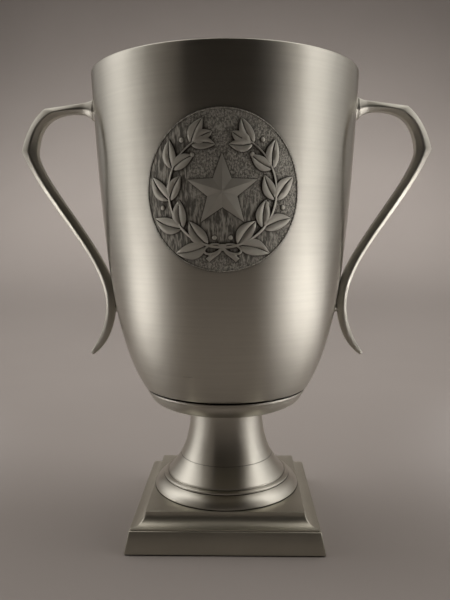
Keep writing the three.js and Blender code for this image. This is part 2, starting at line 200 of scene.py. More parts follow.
class Nodes:
    """A node tree and short ways to add and join its nodes."""

    def __init__(self, tree):
        self.tree = tree

    def node(self, kind, **settings):
        """A new node with some of its settings changed."""
        made = self.tree.nodes.new(kind)
        for key, value in settings.items():
            setattr(made, key, value)
        return made

    def join(self, source, target):
        self.tree.links.new(source, target)

    def coordinates(self, scale):
        """Object coordinates, stretched by a scale for each axis."""
        where = self.node("ShaderNodeTexCoord")
        mapping = self.node("ShaderNodeMapping")
        mapping.inputs["Scale"].default_value = scale
        self.join(where.outputs["Object"], mapping.inputs["Vector"])
        return mapping.outputs["Vector"]

    def noise(self, scale, detail=4, roughness=0.55):
        """Noise over the surface, with its own scale along each axis."""
        texture = self.node("ShaderNodeTexNoise")
        texture.inputs["Scale"].default_value = 1
        texture.inputs["Detail"].default_value = detail
        texture.inputs["Roughness"].default_value = roughness
        self.join(self.coordinates(scale), texture.inputs["Vector"])
        return texture.outputs["Fac"]

    def spread(self, value, low, high, source=(0.3, 0.7)):
        """Maps a value from its source range on to low..high."""
        made = self.node("ShaderNodeMapRange")
        made.inputs["From Min"].default_value = source[0]
        made.inputs["From Max"].default_value = source[1]
        made.inputs["To Min"].default_value = low
        made.inputs["To Max"].default_value = high
        self.join(value, made.inputs["Value"])
        return made.outputs["Result"]

    def math(self, operation, first, second):
        """A Math node's result for two values, each a socket or a number."""
        made = self.node("ShaderNodeMath", operation=operation)
        for slot, value in ((0, first), (1, second)):
            if isinstance(value, (int, float)):
                made.inputs[slot].default_value = value
            else:
                self.join(value, made.inputs[slot])
        return made.outputs["Value"]

    def ramp(self, value, stops):
        """A colour ramp whose stops are (place, colour)."""
        made = self.node("ShaderNodeValToRGB")
        points = made.color_ramp.elements
        while len(points) < len(stops):
            points.new(0.5)
        for point, (place, colour) in zip(points, stops):
            point.position = place
            point.color = (*colour, 1)
        self.join(value, made.inputs["Fac"])
        return made.outputs["Color"]

    def mix(self, share, first, second, blend="MIX"):
        """Mixes two colours, each a socket or a plain colour."""
        made = self.node("ShaderNodeMix", data_type="RGBA", blend_type=blend)
        for slot, value in ((0, share), (6, first), (7, second)):
            if isinstance(value, tuple):
                made.inputs[slot].default_value = (*value, 1)
            elif isinstance(value, (int, float)):
                made.inputs[slot].default_value = value
            else:
                self.join(value, made.inputs[slot])
        return made.outputs[2]

    def bump(self, height, strength, distance, under=None):
        """A bump up to a distance deep, which may lie over another bump."""
        made = self.node("ShaderNodeBump")
        made.inputs["Strength"].default_value = strength
        made.inputs["Distance"].default_value = distance
        self.join(height, made.inputs["Height"])
        if under is not None:
            self.join(under, made.inputs["Normal"])
        return made.outputs["Normal"]


class Shader(Nodes):
    """The nodes of a new Principled material."""

    def __init__(self, name):
        self.material = bpy.data.materials.new(name)
        self.material.use_nodes = True
        super().__init__(self.material.node_tree)
        self.main = self.tree.nodes["Principled BSDF"]

    def set(self, **values):
        """Sets the Principled shader's own sockets."""
        for key, value in values.items():
            self.main.inputs[key.replace("_", " ")].default_value = value

    def tarnish_and_painted_shade(self, colour, reach, open_range):
        """Darkens a metal where other surfaces shelter it, within a reach. This is painted shade,
        and in the relief's corners also antique blackening.
        """
        shelter = self.node("ShaderNodeAmbientOcclusion", samples=8)
        shelter.inputs["Distance"].default_value = reach
        open_share = self.spread(shelter.outputs["AO"], 0.0, 1.0, open_range)
        return self.mix(open_share, PEWTER_DARK, colour)

    def finished(self, colour, roughness, normal, metallic=1.0):
        """The material, with its colour, roughness and bump joined."""
        for key, source in (("Base Color", colour), ("Roughness", roughness), ("Normal", normal)):
            self.join(source, self.main.inputs[key])
        self.set(Metallic=metallic)
        return self.material


def shade(colour, factor):
    """A colour made lighter or darker."""
    return tuple(min(1.0, c * factor) for c in colour)


PEWTER = (0.55, 0.53, 0.465)
OLIVE_PEWTER = (0.5, 0.475, 0.4)
# PEWTER_DARK is laid into sheltered hollows as painted shade, and on the relief also as antique
# blackening.
PEWTER_DARK = (0.07, 0.063, 0.055)


def spun_pewter(name, metal, roughness, brushing, shade_reach):
    """Satin pewter with fine brushing round the axis, a faint cloudy tarnish, and painted shade
    where other surfaces shelter it.
    """
    shader = Shader(name)
    cloud = shader.noise((14, 14, 9), detail=3)
    lines = shader.noise((14, 14, 560), detail=2)
    fine_lines = shader.noise((20, 20, 3600), detail=1)
    tone = shader.ramp(cloud, [(0.3, shade(metal, 0.95)), (0.7, shade(metal, 1.03))])
    streak = shader.spread(lines, 1 - brushing, 1 + 0.6 * brushing)
    streaked = shader.mix(1.0, tone, streak, "MULTIPLY")
    swing = 0.25 * brushing
    cloudy, lined = shader.spread(cloud, -0.02, 0.02), shader.spread(lines, -swing, swing)
    uneven = shader.math("ADD", cloudy, lined)
    brushed = shader.bump(lines, brushing, 0.03 * MM)
    tangent = shader.node("ShaderNodeTangent", direction_type="RADIAL", axis="Z")
    shader.join(tangent.outputs["Tangent"], shader.main.inputs["Tangent"])
    shader.set(Anisotropic=0.95, Anisotropic_Rotation=0.25)
    # Sheltered places, such as the groove between the cup and the collar, are painted darker, as
    # shade.
    return shader.finished(
        shader.tarnish_and_painted_shade(streaked, shade_reach, (0.55, 0.95)),
        shader.math("ADD", uneven, roughness),
        shader.bump(fine_lines, brushing, 0.01 * MM, brushed),
    )


def cast_pewter(name, metal, roughness, scale=(120, 120, 120), edge_shine=1.15):
    """Hand-finished cast pewter: faint file marks, soft pits and worn edges, with painted shade in
    its hollows.
    """
    shader = Shader(name)
    cloud = shader.noise((30, 30, 30), detail=3)
    marks = shader.noise(scale, detail=5, roughness=0.65)
    edge = shader.node("ShaderNodeNewGeometry").outputs["Pointiness"]
    worn = shader.spread(edge, 0.0, 1.0, (0.5, 0.58))
    # Concave places are painted darker, as shade.
    hollow = shader.spread(edge, 1.0, 0.0, (0.42, 0.5))
    tone = shader.ramp(cloud, [(0.3, shade(metal, 0.88)), (0.7, shade(metal, 1.0))])
    tone = shader.mix(worn, tone, shade(metal, edge_shine))
    tone = shader.mix(hollow, tone, shade(metal, 0.45))
    return shader.finished(
        shader.tarnish_and_painted_shade(tone, 1.5 * MM, (0.45, 0.85)),
        shader.spread(marks, roughness - 0.05, roughness + 0.06),
        shader.bump(marks, 0.22, 0.05 * MM),
    )


def antiqued_pewter(name):
    """Relief metal: satin where it stands proud, hatched in its ground, black in its corners with
    antiquing and painted shade.
    """
    shader = Shader(name)
    height = shader.node("ShaderNodeAttribute", attribute_name="relief").outputs["Fac"]
    proud = shader.spread(height, 0.0, 1.0, (0.46, 0.56))
    cloud = shader.noise((60, 60, 60), detail=3)
    grain = shader.noise((1100, 1100, 800), detail=3, roughness=0.75)
    strokes = shader.noise((820, 820, 150), detail=2, roughness=0.6)
    patch = shader.spread(shader.noise((19, 19, 19), detail=0), 0.0, 1.0, (0.47, 0.55))
    texture = shader.mix(patch, strokes, grain)
    crisp = shader.spread(texture, 0.0, 1.0, (0.42, 0.58))
    ground = shader.ramp(crisp, [(0.0, shade(PEWTER, 0.35)), (1.0, shade(PEWTER, 0.95))])
    satin = shader.ramp(cloud, [(0.3, shade(PEWTER, 0.82)), (0.7, shade(PEWTER, 0.98))])
    depth = shader.math("MULTIPLY", crisp, shader.spread(proud, 1.0, 0.04, (0.0, 1.0)))
    return shader.finished(
        shader.tarnish_and_painted_shade(shader.mix(proud, ground, satin), 2.2 * MM, (0.6, 0.95)),
        shader.spread(proud, 0.7, 0.6, (0.0, 1.0)),
        shader.bump(depth, 0.45, 0.22 * MM),
    )


def plated_steel(name):
    """Bright zinc plate, a little yellowed and streaky."""
    shader = Shader(name)
    cloud = shader.noise((160, 160, 160), detail=4)
    colour = shader.ramp(cloud, [(0.3, (0.62, 0.62, 0.6)), (0.7, (0.72, 0.71, 0.66))])
    bump = shader.bump(cloud, 0.1, 0.05 * MM)
    return shader.finished(colour, shader.spread(cloud, 0.22, 0.36), bump)


def rough_iron(name):
    """Sand-cast iron, black with a trace of rust."""
    shader = Shader(name)
    sand = shader.noise((500, 500, 500), detail=5, roughness=0.7)
    rust = shader.noise((40, 40, 40), detail=4)
    colour = shader.ramp(rust, [(0.45, (0.035, 0.034, 0.033)), (0.75, (0.12, 0.055, 0.03))])
    bump = shader.bump(sand, 0.5, 0.3 * MM)
    return shader.finished(colour, shader.spread(sand, 0.6, 0.85), bump, metallic=0.4)


def pressed_board(name):
    """Brown hardboard with its short matted fibres."""
    shader = Shader(name)
    fibre = shader.noise((700, 220, 300), detail=5, roughness=0.7)
    colour = shader.ramp(fibre, [(0.3, (0.16, 0.085, 0.045)), (0.7, (0.3, 0.18, 0.1))])
    bump = shader.bump(fibre, 0.3, 0.1 * MM)
    return shader.finished(colour, shader.spread(fibre, 0.7, 0.85), bump, metallic=0.0)


def wool_felt(name):
    """Dense dark green felt: matted fibres with a soft sheen."""
    shader = Shader(name)
    fibre = shader.noise((1500, 1500, 1500), detail=6, roughness=0.75)
    patch = shader.noise((60, 60, 60), detail=3)
    fibre_part = shader.math("MULTIPLY", fibre, 0.7)
    mixed = shader.math("ADD", fibre_part, shader.math("MULTIPLY", patch, 0.3))
    colour = shader.ramp(mixed, [(0.35, (0.012, 0.022, 0.016)), (0.65, (0.035, 0.06, 0.045))])
    bump = shader.bump(fibre, 0.7, 0.3 * MM)
    shader.set(Sheen_Weight=0.35, Sheen_Roughness=0.5)
    return shader.finished(colour, shader.spread(fibre, 0.85, 1.0), bump, metallic=0.0)


def soft_solder(name):
    """Bright solder, dressed smooth but slightly lumpy."""
    shader = Shader(name)
    lump = shader.noise((350, 350, 350), detail=3)
    colour = shader.ramp(lump, [(0.3, shade(PEWTER, 0.8)), (0.7, shade(PEWTER, 1.1))])
    bump = shader.bump(lump, 0.3, 0.2 * MM)
    return shader.finished(colour, shader.spread(lump, 0.26, 0.4), bump)


def backdrop_paper(name):
    """Plain pale seamless paper for the stage."""
    shader = Shader(name)
    tone = shader.noise((3, 3, 3), detail=2)
    colour = shader.ramp(tone, [(0.3, (0.315, 0.284, 0.262)), (0.7, (0.335, 0.302, 0.279))])
    shader.join(colour, shader.main.inputs["Base Color"])
    shader.set(Roughness=0.9)
    return shader.material


# Each reach is how far the painted shade spreads from sheltering surfaces.
SPUN = spun_pewter("spun_pewter", PEWTER, 0.3, brushing=0.045, shade_reach=4.5 * MM)
# The pedestal's pewter is the cup's, painted 8% lighter so that it looks more brightly lit.
PEDESTAL_METAL = spun_pewter(
    "pedestal_pewter", shade(PEWTER, 1.08), 0.32, brushing=0.015, shade_reach=0.8 * MM
)
CAST = cast_pewter("cast_pewter", shade(PEWTER, 0.95), 0.4)
PLINTH_METAL = cast_pewter("plinth_pewter", OLIVE_PEWTER, 0.42, (20, 20, 1800), edge_shine=0.95)
RELIEF = antiqued_pewter("antiqued_pewter")
SOLDER = soft_solder("soft_solder")
STEEL = plated_steel("zinc_steel")
IRON = rough_iron("cast_iron")
BOARD = pressed_board("hardboard")
FELT = wool_felt("wool_felt")

# ---- the cup ----

CUP_RIM_RADIUS = CUP_HIGH.y
CUP_WALL = 1.6 * MM
CUP_CORNER = 1.8 * MM
CUP_FOOT_RADIUS = 57.6 * MM
WALL_CURVE = [
    (CUP_FOOT_RADIUS, CUP_LOW.z + CUP_CORNER),
    (75.6 * MM, 128.7 * MM),
    (82.7 * MM, 173.8 * MM),
    (CUP_RIM_RADIUS, CUP_HIGH.z),
]


def cup_radius(z):
    """The outside radius of the cup's wall at a height."""
    low, high = 0.0, 1.0
    while high - low > 1e-6:
        middle = (low + high) / 2
        if bezier(WALL_CURVE, middle).y < z:
            low = middle
        else:
            high = middle
    return bezier(WALL_CURVE, low).x


def offset_run(curve, distance, steps):
    """Points along a Bezier curve, moved sideways: positive is to the right of its run."""
    nudge = 0.001
    run = []
    for i in range(steps + 1):
        share = i / steps
        along = bezier(curve, min(share + nudge, 1)) - bezier(curve, max(share - nudge, 0))
        along.normalize()
        at = bezier(curve, share)
        run.append((at.x + along.y * distance, at.y - along.x * distance))
    return run


def make_cup():
    """The spun cup: a flat floor, a curved wall, and a bead that stands inside the rim."""
    steps = 60
    floor = CUP_LOW.z
    top = CUP_HIGH.z
    bead_radius = CUP_RIM_RADIUS - CUP_WALL - 0.5 * MM
    corner = bezier_run([
        (CUP_FOOT_RADIUS - 4.6 * MM, floor),
        (CUP_FOOT_RADIUS - 1.2 * MM, floor),
        WALL_CURVE[0],
    ], 8)
    bead = [
        (CUP_RIM_RADIUS, top, 0.8 * MM),
        (bead_radius, top, 0.8 * MM),
        (bead_radius, top - 1.8 * MM, 0.6 * MM),
        (bead_radius + 0.4 * MM, top - 2.4 * MM),
    ]
    wall = bezier_run(WALL_CURVE, steps)
    lining = offset_run(WALL_CURVE, -CUP_WALL, steps)
    lining.reverse()
    inner_corner = bezier_run([
        lining[-1],
        (CUP_FOOT_RADIUS - 3 * MM, floor + CUP_WALL),
        (CUP_FOOT_RADIUS - 7 * MM, floor + CUP_WALL),
    ], 6)
    outline = [(0, floor), (20 * MM, floor), (40 * MM, floor)]
    outline += corner[:-1] + wall[:-1]
    outline += filleted([wall[-2]] + bead, closed=False)[1:]
    outline += lining[1:-1] + inner_corner
    outline += [(25 * MM, floor + CUP_WALL), (0, floor + CUP_WALL)]
    cup = turned("cup", outline, ROUND_STEPS, SPUN, closed=False)
    finish_piece(cup, "spun_pewter", "cup_shell")


make_cup()

# ---- the medallion ----

MEDALLION_Z = (MEDALLION_LOW.z + MEDALLION_HIGH.z) / 2
MEDALLION_RADIUS = (MEDALLION_HIGH.z - MEDALLION_LOW.z) / 2
BEND_RADIUS = 85.4 * MM
GROUND_HEIGHT = 0.6 * MM
RIM_HEIGHT = 0.95 * MM
RELIEF_HEIGHT = 1.9 * MM
RELIEF_FOOT = 0.3  # the share of the relief's height at which raised work starts, in the disc


class Relief:
    """Raised work drawn flat as (across, up, height over the wall), then bent to the wall."""

    def __init__(self):
        self.points = []
        self.faces = []

    def add(self, points, faces):
        start = len(self.points)
        self.points += points
        self.faces += [[start + i for i in face] for face in faces]

    def loft(self, sections):
        """Skins a row of rings of points and closes both ends."""
        sides = len(sections[0])
        points = [p for section in sections for p in section]
        faces = ring_faces(len(sections), sides)
        faces.append(list(range(sides))[::-1])
        faces.append(list(range(len(points) - sides, len(points))))
        self.add(points, faces)

    def make(self, name, material):
        """Bends the work to the cup's wall. Each point keeps its share of the relief's height."""
        vertices = []
        for across, up, height in self.points:
            x = BEND_RADIUS * math.sin(across / BEND_RADIUS)
            z = MEDALLION_Z + up
            radius = cup_radius(z) + height
            vertices.append((x, -math.sqrt(radius**2 - x**2), z))
        piece = make_object(name, vertices, self.faces, material, sharp_degrees=50)
        shares = piece.data.attributes.new("relief", "FLOAT", "POINT")
        for i, (_, _, height) in enumerate(self.points):
            shares.data[i].value = height / RELIEF_HEIGHT
        return piece


def disc_and_rim(relief):
    """The cast disc: its sunken ground, its thin rim, and its back against the wall."""
    edge = MEDALLION_RADIUS
    back = 0.03 * MM
    ground_rings, back_rings, steps = 28, 12, 180
    profile = [(edge * k / ground_rings, GROUND_HEIGHT) for k in range(1, ground_rings - 1)]
    profile += [
        (edge - 0.95 * MM, GROUND_HEIGHT),
        (edge - 0.75 * MM, RIM_HEIGHT * 0.94),
        (edge - 0.6 * MM, RIM_HEIGHT),
        (edge - 0.3 * MM, RIM_HEIGHT),
        (edge - 0.1 * MM, RIM_HEIGHT * 0.9),
        (edge, RIM_HEIGHT * 0.7),
        (edge, back),
    ]
    profile += [(edge * k / back_rings, back) for k in range(back_rings - 1, 0, -1)]
    points = [(0, 0, GROUND_HEIGHT)]
    faces = []
    for radius, height in profile:
        points += [polar(radius, 360 * i / steps, height) for i in range(steps)]
    points.append((0, 0, back))
    last = 1 + (len(profile) - 1) * steps
    for i in range(steps):
        j = (i + 1) % steps
        faces.append([0, 1 + i, 1 + j])
        faces.append([last + j, last + i, len(points) - 1])
        for r in range(len(profile) - 1):
            a = 1 + r * steps
            faces.append([a + i, a + steps + i, a + steps + j, a + j])
    relief.add(points, faces)


LEAF_STEPS = 12
# The top of a leaf's section, as (share of the half width, share of the relief's height).
LEAF_TOP = [(-1, 0.42), (-0.93, 0.86), (-0.6, 0.98), (-0.14, 0.9), (0, 0.62),
            (0.14, 0.9), (0.6, 0.98), (0.93, 0.86), (1, 0.42)]


def leaf(relief, root, direction, length, width):
    """A laurel leaf: pointed at both ends, crisp at its edge, with a sunk midrib."""
    turn = math.radians(direction)
    sections = []
    for i in range(LEAF_STEPS + 1):
        share = i / LEAF_STEPS
        half = width / 2 * max(0.06, math.sin(math.pi * share**0.85) ** 0.8)
        bow = 0.06 * length * math.sin(math.pi * share)
        rise = min(1.0, 0.5 + 3 * min(share, 1 - share))
        section = []
        for across, height in LEAF_TOP + [(0.8, RELIEF_FOOT), (-0.8, RELIEF_FOOT)]:
            along, aside = share * length, across * half + bow
            level = RELIEF_FOOT + (height - RELIEF_FOOT) * rise
            section.append((
                root[0] + along * math.cos(turn) - aside * math.sin(turn),
                root[1] + along * math.sin(turn) + aside * math.cos(turn),
                level * RELIEF_HEIGHT,
            ))
        sections.append(section[::-1])
    relief.loft(sections)


def berry(relief, centre, radius):
    """A small round berry, set into the ground, with a tiny flat at its top."""
    sections = []
    for lift in (math.radians(90 * ring / 4.3) for ring in range(5)):
        level = RELIEF_HEIGHT * (0.35 + 0.6 * math.sin(lift))
        around = [polar(radius * math.cos(lift), 30 * k, level) for k in range(12)]
        sections.append([(centre[0] + p[0], centre[1] + p[1], p[2]) for p in around])
    relief.loft(sections)


def band(relief, path, half_widths):
    """A raised band with bevelled edges along a path. It tapers between two half widths."""
    shape = [
        (-1, RELIEF_FOOT), (-1, 0.7), (-0.6, 0.93), (0.6, 0.93), (1, 0.7), (1, RELIEF_FOOT),
    ]
    sections = []
    last = len(path) - 1
    for i, (across, up) in enumerate(path):
        before, after = path[max(i - 1, 0)], path[min(i + 1, last)]
        run = Vector((after[0] - before[0], after[1] - before[1])).normalized()
        width = half_widths[0] + (half_widths[1] - half_widths[0]) * i / last
        sections.append([
            (across + run.y * s * width, up - run.x * s * width, h * RELIEF_HEIGHT)
            for s, h in shape
        ])
    relief.loft(sections)


WREATH_RADIUS = 31 * MM
STAR_RADIUS = 21 * MM
STAR_NOTCH_RADIUS = 0.42 * STAR_RADIUS


def wreath(relief):
    """Two laurel branches that cross at the foot and open at the top."""
    foot = 270
    branch_start, branch_end, stem_steps = -9, 149, 40
    first_pair, last_pair, pairs = 16, 146, 5
    for side in (-1, 1):
        stem = []
        for i in range(stem_steps + 1):
            turn = branch_start + (branch_end - branch_start) * i / stem_steps
            stem.append(polar(WREATH_RADIUS, foot + side * turn)[:2])
        band(relief, stem, (0.95 * MM, 0.5 * MM))
        for k in range(pairs):
            degrees = foot + side * (first_pair + (last_pair - first_pair) * k / (pairs - 1))
            root = polar(WREATH_RADIUS, degrees)
            along = degrees + side * 90
            size = 1 - 0.25 * k / pairs
            leaf(relief, root, along - side * 30, 19 * MM * size, 10 * MM * size)
            leaf(relief, root, along + side * 36, 17 * MM * size, 9.4 * MM * size)
            if k % 2 == 0:
                berry(relief, polar(WREATH_RADIUS + 5 * MM, degrees - side * 5), 1.5 * MM)
                berry(relief, polar(WREATH_RADIUS - 5 * MM, degrees - side * 6), 1.5 * MM)
        tip = polar(WREATH_RADIUS, foot + side * branch_end)
        leaf(relief, tip, foot + side * (branch_end + 94), 12 * MM, 7.4 * MM)


def ribbon(relief):
    """A tied ribbon where the branches cross: a knot, two loops and two tails."""
    foot = -WREATH_RADIUS
    loop_steps = 24
    for side in (-1, 1):
        loop = []
        for i in range(1, loop_steps):
            turn = 2 * math.pi * i / loop_steps
            reach = 5 * MM * (1 - math.cos(turn)) / 2
            up = foot + 2.6 * MM * math.sin(turn) - 0.4 * reach
            loop.append((side * (1 * MM + 1.9 * reach), up))
        band(relief, loop, (0.75 * MM, 0.75 * MM))
        tail = bezier_run([
            (side * 0.8 * MM, foot - 1 * MM),
            (side * 2.5 * MM, foot - 4 * MM),
            (side * 5.5 * MM, foot - 4.2 * MM),
            (side * 8.5 * MM, foot - 7.4 * MM),
        ], 12)
        band(relief, tail, (0.8 * MM, 1.5 * MM))
    knot = [(0, foot - 1.9 * MM), (0, foot), (0, foot + 1.9 * MM)]
    band(relief, knot, (1.9 * MM, 1.9 * MM))


def between(start, end, share):
    """The point that lies a share of the way from start to end."""
    return tuple((1 - share) * a + share * b for a, b in zip(start, end))


def facet(corners, steps):
    """A triangle split into small ones, so that it follows the bowed wall."""
    points = []
    row_start = []
    for i in range(steps + 1):
        row_start.append(len(points))
        for j in range(i + 1):
            shares = (1 - i / steps, (i - j) / steps, j / steps)
            points.append(tuple(
                sum(share * corner[axis] for share, corner in zip(shares, corners))
                for axis in range(3)
            ))
    faces = []
    for i in range(steps):
        for j in range(i + 1):
            top, low = row_start[i] + j, row_start[i + 1] + j
            faces.append([top, low, low + 1])
            if j < i:
                faces.append([top, low + 1, top + 1])
    return points, faces


def star(relief):
    """A five-pointed star of ten sloping facets, on upright sides and a flat back."""
    steps = 8
    back, edge, peak = RELIEF_FOOT * RELIEF_HEIGHT, 0.6 * RELIEF_HEIGHT, 1.12 * RELIEF_HEIGHT
    rim = []
    for k in range(10):
        radius = STAR_RADIUS if k % 2 == 0 else STAR_NOTCH_RADIUS
        rim.append(polar(radius, 90 + 36 * k, edge))
    for start, end in zip(rim, rim[1:] + rim[:1]):
        low_start, low_end = (*start[:2], back), (*end[:2], back)
        relief.add(*facet(((0, 0, peak), start, end), steps))
        relief.add(*facet(((0, 0, back), low_end, low_start), steps))
        points = []
        for i in range(steps + 1):
            points.append(between(start, end, i / steps))
            points.append(between(low_start, low_end, i / steps))
        relief.add(points, [[2 * i, 2 * i + 1, 2 * i + 3, 2 * i + 2] for i in range(steps)])


def make_medallion():
    """The disc, and on it the wreath, the ribbon and the star as one raised piece."""
    ground = Relief()
    disc_and_rim(ground)
    disc = ground.make("medallion_disc", RELIEF)
    finish_piece(disc, "antiqued_pewter", "medallion")
    raised = Relief()
    wreath(raised)
    ribbon(raised)
    star(raised)
    finish_piece(raised.make("medallion_emblem", RELIEF), "antiqued_pewter")


make_medallion()

# ---- the handles ----

# Each span is (outer edge, inner edge, reach in Y at its start and end, place of the ridge at
# its start and end, steps). The edges are Bezier points in millimetres, as (distance from the
# axis, height). The ridge's place is a share of the way from the inner edge to the outer.
HANDLE_SPANS = [
    (
        [(89.8, 291), (91.5, 289.9), (95, 289.4)],
        [(89.8, 277.6), (92, 281), (96.5, 281.8)],
        (7, 5.2), (0.42, 0.42), 10,
    ),
    (
        [(95, 289.4), (122.5, 285.6)],
        [(96.5, 281.8), (104, 283.2), (112, 281)],
        (5.2, 5.8), (0.42, 0.42), 10,
    ),
    (
        [(122.5, 285.6), (134.5, 276), (139, 257)],
        [(112, 281), (127, 277), (128.6, 256)],
        (5.8, 6), (0.42, 0.5), 18,
    ),
    (
        [(139, 257), (121, 215), (84.5, 186), (83.8, 152)],
        [(128.6, 256), (127.5, 236), (76.3, 184), (77, 155)],
        (6, 4.6), (0.5, 0.72), 48,
    ),
    (
        [(83.8, 152), (84, 134), (95.6, 118.2)],
        [(77, 155), (78, 128), (93, 116.8)],
        (4.6, 2.4), (0.72, 0.4), 20,
    ),
]


def handle_section(outer, inner, reach, ridge, side):
    """A six-sided section with rounded corners, which gives the bar a ridge along each side."""
    depth = (outer - inner).length
    # One half of the section, as (place from the inner edge, half thickness, rounding).
    half = [(depth, 0.6 * reach, 0.8), (ridge * depth, reach, 2.2), (0, 0.5 * reach, 0.8)]
    outline = half + [(along, -across, rounding) for along, across, rounding in reversed(half)]
    points = []
    for along, across in filleted(outline, closed=True):
        at = inner.lerp(outer, along / depth)
        points.append(Vector((side * at.x, across, at.y)) * MM)
    return points if side < 0 else points[::-1]


def rounded_tip(sections, length):
    """Extra sections that close the last one with a low dome."""
    middle = sum(sections[-1], Vector()) / len(sections[-1])
    before = sum(sections[-2], Vector()) / len(sections[-2])
    ahead = (middle - before).normalized()
    tip = []
    for turn in (25, 45, 62, 78):
        grow = math.sin(math.radians(turn))
        shrink = math.cos(math.radians(turn))
        centre = middle + ahead * length * grow
        tip.append([centre + (p - middle) * shrink for p in sections[-1]])
    return tip


def handle_sections(side):
    """All the sections of one handle, from its pad on the cup to its tail."""
    sections = []
    for number, (outer, inner, reach, ridge, steps) in enumerate(HANDLE_SPANS):
        for i in range(0 if number == 0 else 1, steps + 1):
            share = i / steps
            edges = bezier(outer, share), bezier(inner, share)
            width = reach[0] + (reach[1] - reach[0]) * share
            crest = ridge[0] + (ridge[1] - ridge[0]) * share
            sections.append(handle_section(*edges, width, crest, side))
    return sections


def solder_fillet(name, side, rim, face_x, spread):
    """Solder that flares from a ring of points at face_x down on to the cup's wall."""
    middle = sum(rim, Vector()) / len(rim)
    sections = []
    for share in (0, 0.08, 0.2, 0.4, 0.65, 1):
        swell = 1 + spread * (1 - share) ** 2.2
        ring = []
        for point in rim:
            y = middle.y + (point.y - middle.y) * swell
            z = middle.z + (point.z - middle.z) * swell
            wall_x = math.sqrt(cup_radius(z) ** 2 - y**2) - 0.12 * MM
            ring.append((side * (wall_x + (face_x - wall_x) * share), y, z))
        sections.append(ring)
    return skinned(name, sections, SOLDER)


PAD_SOLDER_FACE = 89.9 * MM
TAIL_SOLDER_FACE = 77.6 * MM
TAIL_SOLDER_Z = 149 * MM


def make_handles():
    """Both handles, each with the solder at its pad and where its tail touches the cup."""
    for name, side in (("left", -1), ("right", 1)):
        sections = handle_sections(side)
        bar = skinned(f"handle_bar_{name}", sections + rounded_tip(sections, 1.1 * MM), CAST)
        finish_piece(bar, "cast_pewter", f"handle_{name}")
        pad = solder_fillet(f"pad_solder_{name}", side, sections[0], PAD_SOLDER_FACE, 0.1)
        finish_piece(pad, "soft_solder", f"solder_top_{name}")
        oval = []
        for k in range(24):
            turn = -side * 2 * math.pi * k / 24
            z = TAIL_SOLDER_Z + 2.3 * MM * math.cos(turn)
            oval.append(Vector((0, 2.1 * MM * math.sin(turn), z)))
        blob = solder_fillet(f"tail_solder_{name}", side, oval, TAIL_SOLDER_FACE, 0.45)
        finish_piece(blob, "soft_solder", f"solder_tail_{name}")


make_handles()

# ---- the collar and the pedestal ----

# The outlines of the collar, the pedestal and the plinth are (radius or half width, height,
# rounding) in millimetres.
ROD_HOLE_RADIUS = 3.5


def in_metres(outline):
    """An outline in millimetres, turned into metres."""
    return [(u * MM, v * MM) for u, v in outline]


def make_collar():
    """The shallow dish under the cup, with a rolled lip and a recess for the boss."""
    low, top = COLLAR_LOW.z / MM, COLLAR_HIGH.z / MM
    bowl = bezier_run([(30, low), (43, low), (52.5, low + 3.2), (54.3, top - 2.4)], 28)
    rest = [
        (54.5, top - 2.2, 0.2), (55.3, top - 1.9, 0.6), (55.3, top - 0.4, 0.6),
        (54.4, top, 0.5), (47, top, 0.5), (45, top - 10.4, 0.8), (ROD_HOLE_RADIUS, top - 10.4),
    ]
    outline = [(ROD_HOLE_RADIUS, low), (16, low)] + bowl[:-1]
    outline += filleted([bowl[-1]] + rest, closed=False, steps=5)
    dish = turned("collar", in_metres(outline), ROUND_STEPS, SPUN)
    finish_piece(dish, "spun_pewter", "collar_dish")


def grooved(curve, steps, place, half_width, depth):
    """Points along a Bezier curve with a narrow line scribed across it at one share."""
    nudge = 0.002
    run = []
    for i in range(steps + 1):
        share = i / steps
        if abs(share - place) > 1.6 * half_width:
            run.append((share, tuple(bezier(curve, share))))
    for offset, inset in ((-1, 0), (-0.25, depth), (0.25, depth), (1, 0)):
        share = place + offset * half_width
        along = (bezier(curve, share + nudge) - bezier(curve, share - nudge)).normalized()
        at = bezier(curve, share)
        run.append((share, (at.x - along.y * inset, at.y + along.x * inset)))
    return [point for _, point in sorted(run)]


def make_pedestal():
    """A hollow trumpet: a convex foot, a bead between two fine grooves, and a scribed flare."""
    low, top = PEDESTAL_LOW.z / MM, PEDESTAL_HIGH.z / MM
    neck, wall_thickness, crown_thickness = 25.2, 2.2, 3
    line_place, line_half_width, line_depth = 0.36, 0.006, 0.2
    flare = [(41, 34.4), (32, 44), (neck, 55), (neck, top)]
    foot = bezier_run([(50.7, low + 0.6), (49.2, 29.4), (44.55, 31.15)], 16)
    base = filleted([(48.5, low), (50.7, low, 0.25), foot[0]], closed=False)
    bead = filleted([
        foot[-1], (43.85, 31.38, 0.08), (44.4, 31.62, 0.25), (44.38, 32.7, 0.6),
        (43.0, 33.2, 0.7), (41.2, 33.0, 0.12), (41.0, 34.4, 0.12), tuple(bezier(flare, 0.03)),
    ], closed=False)
    wall = grooved(flare, 72, line_place, line_half_width, line_depth)
    hollow = offset_run(flare, -wall_thickness, 24)
    hollow.reverse()
    crown_low = top - crown_thickness
    crown = filleted([
        (neck, top - 1), (neck, top, 0.3), (ROD_HOLE_RADIUS, top), (ROD_HOLE_RADIUS, crown_low),
        (neck - wall_thickness, crown_low, 1.2), hollow[1],
    ], closed=False)
    outline = base[:-1] + foot[:-1] + bead
    outline += [point for point in wall if bead[-1][1] + 0.05 < point[1] < top - 1]
    outline += crown[:-1] + hollow[1:]
    trumpet = turned("pedestal_trumpet", in_metres(outline), ROUND_STEPS, PEDESTAL_METAL)
    finish_piece(trumpet, "spun_pewter", "pedestal")


make_collar()
make_pedestal()

# ---- the plinth and what is inside it ----


